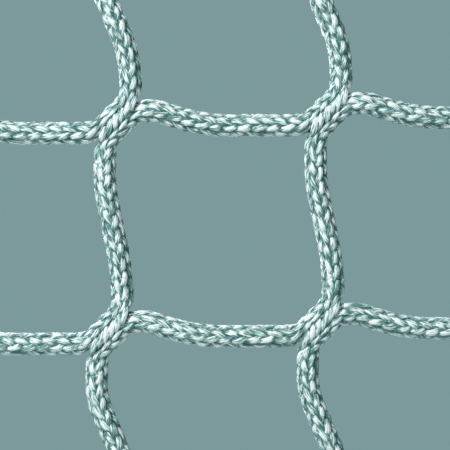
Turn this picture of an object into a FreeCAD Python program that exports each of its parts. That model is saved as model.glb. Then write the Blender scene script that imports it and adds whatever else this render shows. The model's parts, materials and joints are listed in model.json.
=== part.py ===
import FreeCAD, Part
import Sketcher
import math
import os
from FreeCAD import Placement, Rotation, Vector

# A cargo climbing net: a square-mesh panel of plaited polypropylene cord, hung from a border rope.
#
# The panel hangs in the XZ plane with +Z up, and Y runs through it. The origin is the middle of the
# bore of the thimble at the middle of the top edge.
#
# The net has no knots. Its cords climb it in steps, right then up, and wherever two of them meet they
# run side by side along a diagonal. That diagonal is a joint: one cord comes in from the west and leaves
# to the north, and its neighbour comes in from the south and leaves to the east.
#
# The net folds between its rows of joints. So every upright leg is parted half way down, on a bend line
# that runs the whole width of the panel: the end below the line is a rounded knuckle, and the end above
# it is hollowed to turn round that knuckle.

doc = FreeCAD.newDocument("climbing_net")

# ---------------------------------------------------------------- sizes, in millimetres

SIZES = [
    ("cord_dia", 13.5, "net cord, plaited from sixteen strands"),
    ("mesh_pitch", 125, "from joint to joint, across and down"),
    ("mesh_columns", 5, "meshes across the panel"),
    ("mesh_rows", 6, "meshes down the panel"),
    ("joint_spacing", 9.2, "between the middles of two cords pressed together in a joint"),
    ("joint_run", 31.4, "length that two cords run side by side, along the diagonal"),
    ("joint_bend", 18, "bend radius where a cord turns into or out of a joint"),
    ("joint_gap", 0.2, "left between the two flattened sides in a joint"),
    ("row_shift", 2.4, "the rows of joints sit this far right and left, by turns"),
    ("column_shift", 2.3, "the columns of joints sit this far up and down, by turns"),
    ("last_column_shift", 7, "but the last column, where the rows climb, sits this far up"),
    ("leg_bend", 26, "an upright leg runs this far straight out of a joint, then leans over"),
    ("leg_drop", 11, "a level leg runs down this far from its left end to its right end"),
    ("rope_dia", 16, "border rope"),
    ("eye_cord_dia", 11.2, "net cord where its eye is pulled tight round the border rope"),
    ("eye_clearance", 0.3, "between a cord's eye and the border rope"),
    ("whipping_length", 14, "twine whipping at the throat of a cord's eye"),
    ("whipping_wall", 1.5, "how proud a whipping's twine stands"),
    ("twine_clearance", 0.15, "between twine and the cord or rope inside it"),
    ("eye_radius", 21, "middle of the border rope round a thimble"),
    ("eye_flare", 34, "from a thimble's middle to where the rope's two parts come together"),
    ("flare_bend", 25, "bend radius where the two parts open out"),
    ("neck_spacing", 16.4, "between the middles of the rope's two parts in the neck of an eye"),
    ("middle_reach", 72, "from the top rope to the middle of the middle eye"),
    ("middle_bend", 16, "bend radius into the neck of the middle eye"),
    ("corner_reach", 58, "from a corner of the border rope to the middle of its eye"),
    ("corner_bend", 24, "bend radius into the neck of a corner eye"),
    ("seizing_length", 13, "twine seizing round the neck of a rope eye"),
    ("seizing_wall", 2, "how proud a seizing's twine stands"),
    ("bore_dia", 20, "hole through a thimble"),
    ("flange_dia", 37, "outside of a thimble's flanges"),
    ("thimble_width", 18, "thimble, along its bore"),
    ("sleeve_dia", 22, "pressed sleeve that joins the ends of the border rope"),
    ("sleeve_length", 56, "pressed sleeve"),
    ("sleeve_round", 2, "rounding of the sleeve's two ends"),
    ("knuckle_relief", 0.3, "a knuckle is rounded to this much over the cord's own radius"),
    ("knuckle_clearance", 0.5, "between a knuckle and the hollow that turns round it"),
]

sheet = doc.addObject("Spreadsheet::Sheet", "sizes")
for line, (alias, value, meaning) in enumerate(SIZES, 1):
    sheet.set(f"A{line}", meaning)
    sheet.set(f"B{line}", str(value))
    sheet.setAlias(f"B{line}", alias)
doc.recompute()


def size(alias):
    """A driving dimension, read from the sheet."""
    return float(sheet.get(alias))


PITCH = size("mesh_pitch")
COLUMNS = int(size("mesh_columns"))
ROWS = int(size("mesh_rows"))
SIDE = COLUMNS * PITCH / 2  # from the panel's middle to each side rope
TOP = -size("middle_reach")  # height of the top rope
BOTTOM = TOP - ROWS * PITCH  # height of the bottom rope
RING = size("rope_dia") / 2 + size("eye_clearance") + size("eye_cord_dia") / 2  # middle of a cord's eye
THROAT = RING + size("eye_cord_dia") / 2 + 2  # from the rope's middle to the near end of the whipping
STRAIGHT = THROAT + size("whipping_length") + 14  # from the rope's middle to the cord's first bend
THROAT_BEND = 120  # radius of that first bend, which is slight
OVER = 9  # a knuckle's cord is drawn this far past the bend line before it is rounded
MARGIN = 5  # how far a cutting tool reaches past what it cuts

RIGHT = Vector(1, 0, 0)
THROUGH = Vector(0, 1, 0)
UP = Vector(0, 0, 1)

# ---------------------------------------------------------------- helpers


def in_panel(x, z):
    """A point or direction in the panel's plane."""
    return Vector(x, 0, z)


def facing(direction):
    """The turn that takes +Z to a direction."""
    return Rotation(UP, direction)


def feature(kind, label, **bound):
    """A document object whose properties are bound to the sheet."""
    made = doc.addObject(kind, label)
    made.Label = label
    for name, expression in bound.items():
        made.setExpression(name, expression)
    return made


def cylinder(label, radius, height, base, direction):
    """A cylinder from base along direction; radius and height are expressions."""
    made = feature("Part::Cylinder", label, Radius=radius, Height=height)
    made.Placement = Placement(base, facing(direction))
    return made


def group(label, members):
    """Several separate solids in one shape."""
    made = feature("Part::Compound", label)
    made.Links = list(members)
    return made


def cut(label, base, *tools):
    """What is left of base once the tools are taken away."""
    made = feature("Part::Cut", label)
    made.Base = base
    made.Tool = tools[0] if len(tools) == 1 else group(f"{label}_tools", tools)
    return made


pieces = []


def piece(label, made):
    """Name a finished piece; its name is its file's."""
    made.Label = label
    pieces.append(made)


tubes = []


def rounded_route(label, corners):
    """A wire of straight runs joined by tangent arcs.

    Each corner is a point and the radius of its arc. None stands for the largest arc that the runs
    on its two sides leave room for, one that takes 0.45 of the shorter run.
    """
    edges, radii = [], []
    reached = corners[0][0]
    for (before, _), (turning, radius), (after, _) in zip(corners, corners[1:], corners[2:]):
        shorter = min(before.distanceToPoint(turning), after.distanceToPoint(turning))
        back = (before - turning).normalize()
        ahead = (after - turning).normalize()
        half_turn = (math.pi - back.getAngle(ahead)) / 2
        radius = radius or 0.45 * shorter / math.tan(half_turn)
        taken = radius * math.tan(half_turn)
        start, end = turning + back * taken, turning + ahead * taken
        middle = turning + (back + ahead).normalize() * (radius / math.cos(half_turn) - radius)
        if start.distanceToPoint(reached) > 0.001:
            edges.append(Part.LineSegment(reached, start).toShape())
        edges.append(Part.Arc(start, middle, end).toShape())
        radii.append(round(radius))
        reached = end
    edges.append(Part.LineSegment(reached, corners[-1][0]).toShape())
    made = doc.addObject("Part::Feature", f"{label}_route")
    made.Shape = Part.Wire(edges)
    return made, radii


def tube(label, corners, cell):
    """A round solid along a rounded route; cell is the one that holds its diameter."""
    route, radii = rounded_route(label, corners)
    section = feature("Part::Circle", f"{label}_section", Radius=f"sizes.{cell} / 2")
    section.Placement = Placement(corners[0][0], facing(corners[1][0] - corners[0][0]))
    made = feature("Part::Sweep", label)
    made.Sections = [section]
    made.Spine = (route, [])
    made.Solid = True
    tubes.append((made, route, cell, radii))
    return made


# ---------------------------------------------------------------- where the cords run


def joint(column, row):
    """The middle of a joint. Columns count from the left and rows from the top, both from 1."""
    across = size("row_shift") if row % 2 else -size("row_shift")
    up = size("column_shift") if column % 2 else -size("column_shift")
    if column == COLUMNS - 1:
        up = size("last_column_shift")
    return in_panel(column * PITCH - SIDE + across, TOP - row * PITCH + up)


def joint_end(column, row, way):
    """Where a cord's middle turns between a joint and the leg on its west, north, south or east."""
    aside = size("joint_spacing") / 2 / math.sqrt(2)
    along = size("joint_run") / 2 / math.sqrt(2)
    offset = {
        "west": (-along - aside, -along + aside),
        "north": (along - aside, along + aside),
        "south": (-along + aside, -along - aside),
        "east": (along + aside, along - aside),
    }[way]
    return joint(column, row) + in_panel(*offset)


def bend_line(number):
    """Height of a bend line. They count from the top, and number n lies above the joints of row n."""
    return TOP - (number - 0.5) * PITCH


def leg_bends(column, number):
    """The lower and upper bends of the upright leg that crosses a bend line.

    A leg leaves the joint above it straight down, leans to the right, and stands up again to meet
    the joint below it. At the top and bottom of the panel it runs straight to the border rope.
    """
    if number < ROWS:
        lower = joint_end(column, number, "north") + in_panel(-2, size("leg_bend"))
    if number > 1:
        upper = joint_end(column, number - 1, "south") + in_panel(-0.3, -size("leg_bend"))
    if number == 1:
        upper = in_panel(lower.x - 3, TOP - STRAIGHT)
    if number == ROWS:
        lower = in_panel(upper.x + 3, BOTTOM + STRAIGHT)
    return lower, upper


def on_leg(column, number, above=0):
    """The point of an upright leg on its bend line, or a little above it."""
    lower, upper = leg_bends(column, number)
    share = (bend_line(number) + above - lower.z) / (upper.z - lower.z)
    return lower + (upper - lower) * share


def level_bend(start, end):
    """Where a level leg, which slopes down out of its left joint, comes level."""
    return in_panel(start.x + 0.38 * (end.x - start.x), end.z + 0.6)


# ---------------------------------------------------------------- tools that shape the cords

roundings = {}
hollows = {}


def make_bend_tools(place, number, cell, x, width):
    """The tools that round the ends below a bend line and hollow the ends above it."""
    base = in_panel(x - width / 2, bend_line(number))
    grown = f"sizes.{cell} / 2 + sizes.knuckle_relief"
    knuckle = cylinder(f"knuckle_{place}_{number}", grown, f"{width}", base, RIGHT)
    above = feature("Part::Box", f"above_{place}_{number}", Length=f"{width}", Height=f"{OVER + MARGIN}")
    above.setExpression("Width", f"sizes.{cell} + {2 * MARGIN}")
    above.Placement.Base = base - THROUGH * (size(cell) / 2 + MARGIN)
    roundings[place, number] = cut(f"rounding_{place}_{number}", above, knuckle)
    clear = f"{grown} + sizes.knuckle_clearance"
    hollows[place, number] = cylinder(f"hollow_{place}_{number}", clear, f"{width}", base, RIGHT)


for number in range(1, ROWS + 1):
    side_width = size("rope_dia") + 2 * MARGIN
    make_bend_tools("net", number, "cord_dia", 0, 2 * SIDE - PITCH)
    make_bend_tools("left", number, "rope_dia", -SIDE, side_width)
    make_bend_tools("right", number, "rope_dia", SIDE, side_width)


def flattener(label, column, row, side):
    """The tool that flattens a cord in a joint where its neighbour presses on it.

    side is 1 for the upper left cord and -1 for the lower right one.
    """
    made = feature("Part::Box", label, Length="1.4 * sizes.joint_run", Height="sizes.cord_dia / 2")
    made.setExpression("Width", f"sizes.cord_dia + {2 * MARGIN}")
    radius = size("cord_dia") / 2
    lift = size("joint_gap") / 2 - (radius if side > 0 else size("joint_gap"))
    diagonal = Rotation(THROUGH, -45)
    start = Vector(-0.7 * size("joint_run"), -radius - MARGIN, lift)
    made.Placement = Placement(joint(column, row) + diagonal.multVec(start), diagonal)
    return made


# ---------------------------------------------------------------- net cords

throats = {"top": [], "bottom": []}
for row in range(1, ROWS):
    throats[f"row_{row}"] = []


def with_eye(label, leg, rope_point, along_rope, along_leg, place):
    """A leg joined to the tight eye that its cord ends in, round the border rope."""
    ring = feature("Part::Torus", f"{label}_eye", Radius2="sizes.eye_cord_dia / 2")
    ring.setExpression("Radius1", "(sizes.rope_dia + sizes.eye_cord_dia) / 2 + sizes.eye_clearance")
    ring.Placement = Placement(rope_point, facing(along_rope))
    made = feature("Part::Fuse", f"{label}_with_eye")
    made.Base = leg
    made.Tool = ring
    throats[place].append((rope_point, along_leg))
    return made


def from_below(column, row):
    """The stretch of a cord from the bend line below a joint to the joint's east end."""
    lower, upper = leg_bends(column, row + 1)
    turn = size("joint_bend")
    return [
        (on_leg(column, row + 1), None),
        (upper, None),
        (joint_end(column, row, "south"), turn),
        (joint_end(column, row, "east"), turn),
    ]


def to_above(column, row):
    """The stretch of a cord from a joint's west end past the bend line above the joint."""
    lower, upper = leg_bends(column, row)
    turn = size("joint_bend")
    return [
        (joint_end(column, row, "west"), turn),
        (joint_end(column, row, "north"), turn),
        (lower, None),
        (on_leg(column, row, OVER), None),
    ]


def row_cord(column, row):
    """The stretch of a cord that belongs to one row, from the joint in one column to the next."""
    label = f"net_cord_{row}_{column + 1}"
    lower_tools = [hollows["net", row + 1], flattener(f"{label}_lower_flat", column, row, -1)]
    upper_tools = [roundings["net", row], flattener(f"{label}_upper_flat", column + 1, row, 1)]
    if column == 0:
        rope_point = in_panel(-SIDE, joint_end(1, row, "west").z + 4)
        corners = [(rope_point + RIGHT * RING, None), (rope_point + RIGHT * STRAIGHT, THROAT_BEND)]
        leg = tube(f"{label}_leg", corners + to_above(1, row), "cord_dia")
        whole = with_eye(label, leg, rope_point, UP, RIGHT, f"row_{row}")
        tools = upper_tools
    elif column == COLUMNS - 1:
        rope_point = in_panel(SIDE, joint_end(column, row, "east").z - size("leg_drop"))
        corners = [(rope_point - RIGHT * STRAIGHT, THROAT_BEND), (rope_point - RIGHT * RING, None)]
        leg = tube(f"{label}_leg", from_below(column, row) + corners, "cord_dia")
        whole = with_eye(label, leg, rope_point, UP, -RIGHT, f"row_{row}")
        tools = lower_tools
    else:
        start, end = from_below(column, row), to_above(column + 1, row)
        corners = start + [(level_bend(start[-1][0], end[0][0]), None)] + end
        whole = tube(f"{label}_leg", corners, "cord_dia")
        tools = lower_tools + upper_tools
    piece(label, cut(f"{label}_cut", whole, *tools))


for row in range(1, ROWS):
    for column in range(COLUMNS):
        row_cord(column, row)

for column in range(1, COLUMNS):
    label = f"cord_end_top_{column}"
    upper = leg_bends(column, 1)[1]
    rope_point = in_panel(upper.x, TOP)
    corners = [(on_leg(column, 1), None), (upper, THROAT_BEND), (rope_point - UP * RING, None)]
    leg = tube(f"{label}_leg", corners, "cord_dia")
    whole = with_eye(label, leg, rope_point, RIGHT, -UP, "top")
    piece(label, cut(f"{label}_cut", whole, hollows["net", 1]))

for column in range(1, COLUMNS):
    label = f"cord_end_bottom_{column}"
    lower = leg_bends(column, ROWS)[0]
    rope_point = in_panel(lower.x, BOTTOM)
    corners = [(rope_point + UP * RING, None), (lower, THROAT_BEND), (on_leg(column, ROWS, OVER), None)]
    leg = tube(f"{label}_leg", corners, "cord_dia")
    whole = with_eye(label, leg, rope_point, RIGHT, UP, "bottom")
    piece(label, cut(f"{label}_cut", whole, roundings["net", ROWS]))

# ---------------------------------------------------------------- border rope


def eye_middle(base, out, reach):
    """The middle of a rope eye whose neck leaves the border at base."""
    return base + out * size(reach)


def rope_eye(base, out, rope_in, rope_out, reach, bend):
    """Corners of an eye in the border rope.

    The rope arrives along rope_in, turns out into the neck, goes round the thimble and comes back.
    base is where the lines of the two ropes meet, and out is the way that the eye points.
    """
    left = Rotation(THROUGH, -90).multVec(out)
    half_neck = size("neck_spacing") / 2
    flare, radius = size("eye_flare"), size("eye_radius")
    first = base + rope_in * (half_neck / rope_in.dot(left))
    last = base - rope_out * (half_neck / rope_out.dot(left))
    middle = eye_middle(base, out, reach)
    touch = math.pi - math.atan2(half_neck, flare) - math.acos(radius / math.hypot(half_neck, flare))
    turns = 3
    half_step = touch / turns
    around = [
        middle + (out * math.cos(angle) + left * math.sin(angle)) * (radius / math.cos(half_step))
        for angle in (touch - half_step, 0, half_step - touch)
    ]
    return (
        [(first, size(bend)), (middle - out * flare + left * half_neck, size("flare_bend"))]
        + [(point, radius) for point in around]
        + [(middle - out * flare - left * half_neck, size("flare_bend")), (last, size(bend))]
    )


def diagonal(x, z):
    """A direction at 45 degrees; x and z are 1 or -1."""
    return in_panel(x, z).normalize()


EYES = {
    "top_left": (in_panel(-SIDE, TOP), diagonal(-1, 1), UP, RIGHT, "corner_reach", "corner_bend"),
    "top_middle": (in_panel(0, TOP), UP, RIGHT, RIGHT, "middle_reach", "middle_bend"),
    "top_right": (in_panel(SIDE, TOP), diagonal(1, 1), RIGHT, -UP, "corner_reach", "corner_bend"),
    "bottom_right": (in_panel(SIDE, BOTTOM), diagonal(1, -1), -UP, -RIGHT, "corner_reach", "corner_bend"),
    "bottom_left": (in_panel(-SIDE, BOTTOM), diagonal(-1, -1), -RIGHT, UP, "corner_reach", "corner_bend"),
}

ROPE_PARTS = {
    "top_rope_left": (in_panel(-SIDE, bend_line(1)), "top_left", in_panel(-PITCH, TOP)),
    "top_rope_middle": (in_panel(-PITCH, TOP), "top_middle", in_panel(PITCH, TOP)),
    "top_rope_right": (in_panel(PITCH, TOP), "top_right", in_panel(SIDE, bend_line(1))),
    "bottom_rope_right": (in_panel(SIDE, bend_line(ROWS) + OVER), "bottom_right", in_panel(0, BOTTOM)),
    "bottom_rope_left": (in_panel(0, BOTTOM), "bottom_left", in_panel(-SIDE, bend_line(ROWS) + OVER)),
}
SHAPED_BY = {
    "top_rope_left": hollows["left", 1],
    "top_rope_right": hollows["right", 1],
    "bottom_rope_right": roundings["right", ROWS],
    "bottom_rope_left": roundings["left", ROWS],
}

for label, (start, place, end) in ROPE_PARTS.items():
    made = tube(f"{label}_tube", [(start, None)] + rope_eye(*EYES[place]) + [(end, None)], "rope_dia")
    if label in SHAPED_BY:
        made = cut(f"{label}_cut", made, SHAPED_BY[label])
    piece(label, made)

for row in range(1, ROWS):
    for side, x in (("left", -SIDE), ("right", SIDE)):
        label = f"side_rope_{side}_{row}"
        base = in_panel(x, bend_line(row + 1))
        straight = cylinder(f"{label}_rod", "sizes.rope_dia / 2", f"sizes.mesh_pitch + {OVER}", base, UP)
        piece(label, cut(f"{label}_cut", straight, roundings[side, row], hollows[side, row + 1]))

# ---------------------------------------------------------------- twine whippings


def whipping(label, rope_point, along_leg):
    """A tube of twine round the throat of a cord's eye."""
    start = rope_point + along_leg * THROAT
    bore = cylinder(f"{label}_bore", "sizes.cord_dia / 2 + sizes.twine_clearance",
                    f"sizes.whipping_length + {2 * MARGIN}", start - along_leg * MARGIN, along_leg)
    outside = cylinder(f"{label}_outside",
                       "sizes.cord_dia / 2 + sizes.twine_clearance + sizes.whipping_wall",
                       "sizes.whipping_length", start, along_leg)
    return cut(label, outside, bore)


for place, ends in throats.items():
    turns = [whipping(f"whipping_{place}_{count}", *end) for count, end in enumerate(ends, 1)]
    piece(f"whippings_{place}", group(f"whippings_{place}_group", turns))

# ---------------------------------------------------------------- thimbles, seizings and sleeve


def plane_of(body, role):
    """One of a body's own origin planes or axes."""
    return next(part for part in body.Origin.OriginFeatures if part.Role == role)


def sketch_on(body, name, role="XY_Plane"):
    """A sketch on one of a body's own planes."""
    made = body.newObject("Sketcher::SketchObject", name)
    made.AttachmentSupport = (plane_of(body, role), "")
    made.MapMode = "FlatFace"
    return made


def bind(sketch, constraint, name, expression):
    """Add a dimension to a sketch and bind it to the sheet."""
    sketch.renameConstraint(sketch.addConstraint(constraint), name)
    sketch.setExpression(f"Constraints.{name}", expression)


ORIGIN, H_AXIS, V_AXIS = -1, -1, -2  # how a sketch numbers its origin point and its two axes
START, END, MIDDLE = 1, 2, 3  # how it numbers a line's or arc's points


def rectangle(sketch, left, right, half_height):
    """Four joined lines, level and upright, that are as tall above the level axis as below it."""
    points = [(left, -half_height), (right, -half_height), (right, half_height), (left, half_height)]
    corners = [Vector(x, y, 0) for x, y in points]
    for first, second in zip(corners, corners[1:] + corners[:1]):
        sketch.addGeometry(Part.LineSegment(first, second))
    for line in range(4):
        sketch.addConstraint(Sketcher.Constraint("Coincident", line, END, (line + 1) % 4, START))
    for line, lie in ((0, "Horizontal"), (2, "Horizontal"), (3, "Vertical")):
        sketch.addConstraint(Sketcher.Constraint(lie, line))
    sketch.addConstraint(Sketcher.Constraint("Symmetric", 1, START, 1, END, H_AXIS))


def make_thimble(place):
    """A turned ring: a flanged bobbin, bored through, with a groove that the rope lies in."""
    label = f"thimble_{place}"
    body = feature("PartDesign::Body", f"{label}_body")
    profile = sketch_on(body, f"{label}_profile")
    rectangle(profile, size("bore_dia") / 2, size("flange_dia") / 2, size("thimble_width") / 2)
    bind(profile, Sketcher.Constraint("DistanceX", ORIGIN, 1, 3, START, size("bore_dia") / 2),
         "bore", "sizes.bore_dia / 2")
    bind(profile, Sketcher.Constraint("DistanceX", ORIGIN, 1, 1, START, size("flange_dia") / 2),
         "flange", "sizes.flange_dia / 2")
    bind(profile, Sketcher.Constraint("DistanceY", 1, START, 1, END, size("thimble_width")),
         "width", "sizes.thimble_width")
    turned = body.newObject("PartDesign::Revolution", f"{label}_turned")
    turned.Profile = profile
    turned.ReferenceAxis = (profile, ["V_Axis"])
    turned.Angle = 360
    groove_profile = sketch_on(body, f"{label}_groove_profile")
    groove_profile.addGeometry(Part.Circle(Vector(size("eye_radius"), 0, 0), UP, size("rope_dia") / 2 + 0.2))
    groove_profile.addConstraint(Sketcher.Constraint("PointOnObject", 0, MIDDLE, H_AXIS))
    bind(groove_profile, Sketcher.Constraint("DistanceX", ORIGIN, 1, 0, MIDDLE, size("eye_radius")),
         "middle", "sizes.eye_radius")
    bind(groove_profile, Sketcher.Constraint("Radius", 0, size("rope_dia") / 2 + 0.2),
         "seat", "sizes.rope_dia / 2 + 0.2")
    doc.recompute()
    groove = body.newObject("PartDesign::Groove", f"{label}_groove")
    groove.Profile = groove_profile
    groove.ReferenceAxis = (groove_profile, ["V_Axis"])
    groove.Angle = 360
    body.Tip = groove
    body.Placement = Placement(eye_middle(EYES[place][0], EYES[place][1], EYES[place][4]), Rotation())
    return body


def stadium(sketch, name, radius, expression):
    """A closed outline round the rope's two parts: two half circles joined by two straight sides."""
    half = size("neck_spacing") / 2
    first = sketch.GeometryCount
    right, left = Vector(half, 0, 0), Vector(-half, 0, 0)
    quarter = math.pi / 2
    sketch.addGeometry(Part.ArcOfCircle(Part.Circle(right, UP, radius), -quarter, quarter))
    sketch.addGeometry(Part.LineSegment(right + THROUGH * radius, left + THROUGH * radius))
    sketch.addGeometry(Part.ArcOfCircle(Part.Circle(left, UP, radius), quarter, 3 * quarter))
    sketch.addGeometry(Part.LineSegment(left - THROUGH * radius, right - THROUGH * radius))
    for step in range(4):
        ends = (first + step, END, first + (step + 1) % 4, START)
        sketch.addConstraint(Sketcher.Constraint("Tangent", *ends))
    sketch.addConstraint(Sketcher.Constraint("Equal", first, first + 2))
    sketch.addConstraint(Sketcher.Constraint("PointOnObject", first, MIDDLE, H_AXIS))
    sketch.addConstraint(Sketcher.Constraint("Symmetric", first, MIDDLE, first + 2, MIDDLE, V_AXIS))
    bind(sketch, Sketcher.Constraint("Radius", first, radius), f"{name}_radius", expression)
    bind(sketch, Sketcher.Constraint("DistanceX", first + 2, MIDDLE, first, MIDDLE, 2 * half),
         f"{name}_spacing", "sizes.neck_spacing")


def make_seizing(place):
    """A band of twine round the neck of a rope eye, close under the thimble."""
    label = f"seizing_{place}"
    base, out, _, _, reach, _ = EYES[place]
    body = feature("PartDesign::Body", f"{label}_body")
    outline = sketch_on(body, f"{label}_outline")
    inside = size("rope_dia") / 2 + size("twine_clearance")
    stadium(outline, "outside", inside + size("seizing_wall"),
            "sizes.rope_dia / 2 + sizes.twine_clearance + sizes.seizing_wall")
    stadium(outline, "inside", inside, "sizes.rope_dia / 2 + sizes.twine_clearance")
    band = body.newObject("PartDesign::Pad", f"{label}_band")
    band.Profile = outline
    band.setExpression("Length", "sizes.seizing_length")
    band.SideType = "Symmetric"
    body.Tip = band
    middle = eye_middle(base, out, reach) - out * (size("eye_flare") + 5.5 + size("seizing_length") / 2)
    body.Placement = Placement(middle, facing(out))
    return body


def make_sleeve():
    """The sleeve pressed on where the border rope's two ends meet, in the middle of the bottom."""
    body = feature("PartDesign::Body", "sleeve_body")
    outline = sketch_on(body, "sleeve_outline")
    for name, expression, radius in (
        ("outside", "sizes.sleeve_dia / 2", size("sleeve_dia") / 2),
        ("bore", "sizes.rope_dia / 2 + sizes.twine_clearance", size("rope_dia") / 2 + size("twine_clearance")),
    ):
        ring = outline.addGeometry(Part.Circle(Vector(0, 0, 0), UP, radius))
        outline.addConstraint(Sketcher.Constraint("Coincident", ring, MIDDLE, ORIGIN, 1))
        bind(outline, Sketcher.Constraint("Radius", ring, radius), f"{name}_radius", expression)
    barrel = body.newObject("PartDesign::Pad", "sleeve_barrel")
    barrel.Profile = outline
    barrel.setExpression("Length", "sizes.sleeve_length")
    barrel.SideType = "Symmetric"
    doc.recompute()
    rims = [
        f"Edge{count}"
        for count, edge in enumerate(barrel.Shape.Edges, 1)
        if edge.Closed and abs(edge.Curve.Radius - size("sleeve_dia") / 2) < 0.01
    ]
    rounded = body.newObject("PartDesign::Fillet", "sleeve_rounded")
    rounded.Base = (barrel, rims)
    rounded.setExpression("Radius", "sizes.sleeve_round")
    body.Tip = rounded
    body.Placement = Placement(in_panel(0, BOTTOM), facing(RIGHT))
    piece("rope_end_sleeve", body)


for edge in ("top", "bottom"):
    places = [place for place in EYES if place.startswith(edge)]
    thimbles = [make_thimble(place) for place in places]
    piece(f"thimbles_{edge}", group(f"thimbles_{edge}_group", thimbles))
    bands = [make_seizing(place) for place in places]
    piece(f"seizings_{edge}", group(f"seizings_{edge}_group", bands))
make_sleeve()

# ---------------------------------------------------------------- check and write

doc.recompute()
for made in doc.Objects:
    if {"Invalid", "Error"} & set(made.State):
        raise SystemExit(f"{made.Label} failed: {made.State}")
for made in pieces:
    if made.Shape.isNull() or not made.Shape.isValid() or not made.Shape.Solids:
        raise SystemExit(f"{made.Label} has no valid solid")
for made, route, cell, radii in tubes:
    expected = math.pi / 4 * size(cell) ** 2 * route.Shape.Length
    if abs(made.Shape.Volume / expected - 1) > 0.002:
        raise SystemExit(f"{made.Label} is {made.Shape.Volume:.0f} mm3 and should be {expected:.0f}")
    print(f"{made.Label}: {route.Shape.Length:.0f} mm long, bends {radii}")

os.makedirs("parts", exist_ok=True)
for made in pieces:
    made.Shape.exportStep(f"parts/{made.Label}.step")
    print(f"{made.Label}: {len(made.Shape.Solids)} solids, {made.Shape.Volume:.0f} mm3")
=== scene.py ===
# %% [markdown]
# # A knotless climbing net, strand by strand
#
# The object is a square-mesh climbing panel. Its cords are plaited from off-white polypropylene yarn, and a
# thicker rope of the same plait runs round the edge, with five steel eyes to hang it by.
#
# A net could be drawn as plain tubes with a plait painted on, but the outline of a plait is bumpy and each
# strand catches the light by itself. So every strand here is a real ribbon that goes over two and under two.

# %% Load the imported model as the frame
import json
import math

import bpy
import numpy as np
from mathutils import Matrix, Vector


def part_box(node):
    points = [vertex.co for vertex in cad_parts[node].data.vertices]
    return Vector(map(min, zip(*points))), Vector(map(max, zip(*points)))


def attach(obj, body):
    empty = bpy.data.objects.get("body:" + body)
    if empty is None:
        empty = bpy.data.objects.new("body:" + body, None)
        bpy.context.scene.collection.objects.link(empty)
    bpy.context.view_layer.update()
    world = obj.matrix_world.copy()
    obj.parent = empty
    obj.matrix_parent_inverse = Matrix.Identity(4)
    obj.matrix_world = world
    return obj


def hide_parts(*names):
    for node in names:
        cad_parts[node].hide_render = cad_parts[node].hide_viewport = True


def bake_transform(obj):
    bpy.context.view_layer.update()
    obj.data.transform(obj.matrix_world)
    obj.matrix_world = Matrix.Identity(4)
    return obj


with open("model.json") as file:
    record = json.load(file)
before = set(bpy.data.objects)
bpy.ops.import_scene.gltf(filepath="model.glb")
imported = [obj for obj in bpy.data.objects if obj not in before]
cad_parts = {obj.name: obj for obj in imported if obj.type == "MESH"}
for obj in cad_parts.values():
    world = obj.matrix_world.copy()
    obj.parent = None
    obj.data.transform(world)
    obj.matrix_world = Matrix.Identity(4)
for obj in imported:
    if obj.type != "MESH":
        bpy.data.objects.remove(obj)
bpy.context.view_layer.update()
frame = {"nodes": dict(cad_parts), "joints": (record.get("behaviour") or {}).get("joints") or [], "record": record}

MM = 0.001  # the frame is in metres, and this lesson measures the net in millimetres


def mm(vector):
    """A point of the frame in millimetres."""
    return np.array(vector, float) / MM


# %% [markdown]
# ## Where everything is
#
# The net folds on six bend lines, half way between its rows of joints. The frame knows where they are, how
# thick the rope is and where the eyes' bores are, so those sizes are read and not typed again. What the frame
# can't say, such as how far a cord runs beside its neighbour, is given here in millimetres.

# %% Read the panel's sizes from the frame
bends = [mm(joint["pos_m"])[2] for joint in frame["joints"]]
PITCH = bends[0] - bends[1]
ROWS = len(bends)
TOP = bends[0] + PITCH / 2
BOTTOM = bends[-1] - PITCH / 2
rod_low, rod_high = (mm(corner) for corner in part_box("side_rope_left_1"))
ROPE = rod_high[0] - rod_low[0]
SIDE = -(rod_low[0] + rod_high[0]) / 2
COLUMNS = round(2 * SIDE / PITCH)
bores = {m["name"].replace("eye_", ""): mm(m["pos_m"]) for m in frame["record"]["mounts"]}

CORD = 13.5  # diameter of the net cord
OVER_CROWNS = 14.2  # its diameter over the outermost strands
SPACING = 9.2  # between the middles of two cords in a joint
RUN = 31.4  # length that they run side by side
TURN = 18.0  # bend radius into and out of a joint
ROW_SHIFT, COLUMN_SHIFT = 2.4, 2.3  # rows and columns of joints sit a little to and fro
LAST_COLUMN_SHIFT = 7.0  # the rows climb towards the last column
LEG_BEND = 26.0  # a leg runs this far straight out of a joint
LEG_DROP = 11.0
EYE_RING = 13.9  # middle of a cord's eye round the rope
EYE_CORD = 11.5 / OVER_CROWNS  # a cord is pulled this much thinner there
THROAT = 21.5  # from the rope's middle to the whipping
WHIPPING = 14.0
FIRST_BEND = 49.5  # from the rope's middle to a cord's first bend

RIGHT, THROUGH, UP = np.eye(3)
print(f"pitch {PITCH:.1f} mm, {COLUMNS} by {ROWS} meshes, rope {ROPE:.1f} mm")

# %% [markdown]
# ## Paths
#
# A cord's middle line is straight runs joined by round bends, as it is on the real net, where every bend has
# a radius. A Blender curve could hold it, but plaiting needs to ask for the point, the direction and two
# sideways directions at any length along it. So a path is a table of samples, and numpy reads between them.
#
# The sideways directions are carried along without twisting. Otherwise the plait would spin in every bend.

# %% Sample a path and carry its sideways directions along it
STEP = 0.75  # length between samples


def unit(vector):
    return vector / np.linalg.norm(vector)


def at(x, z, y=0.0):
    return np.array([x, y, z], float)


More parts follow.
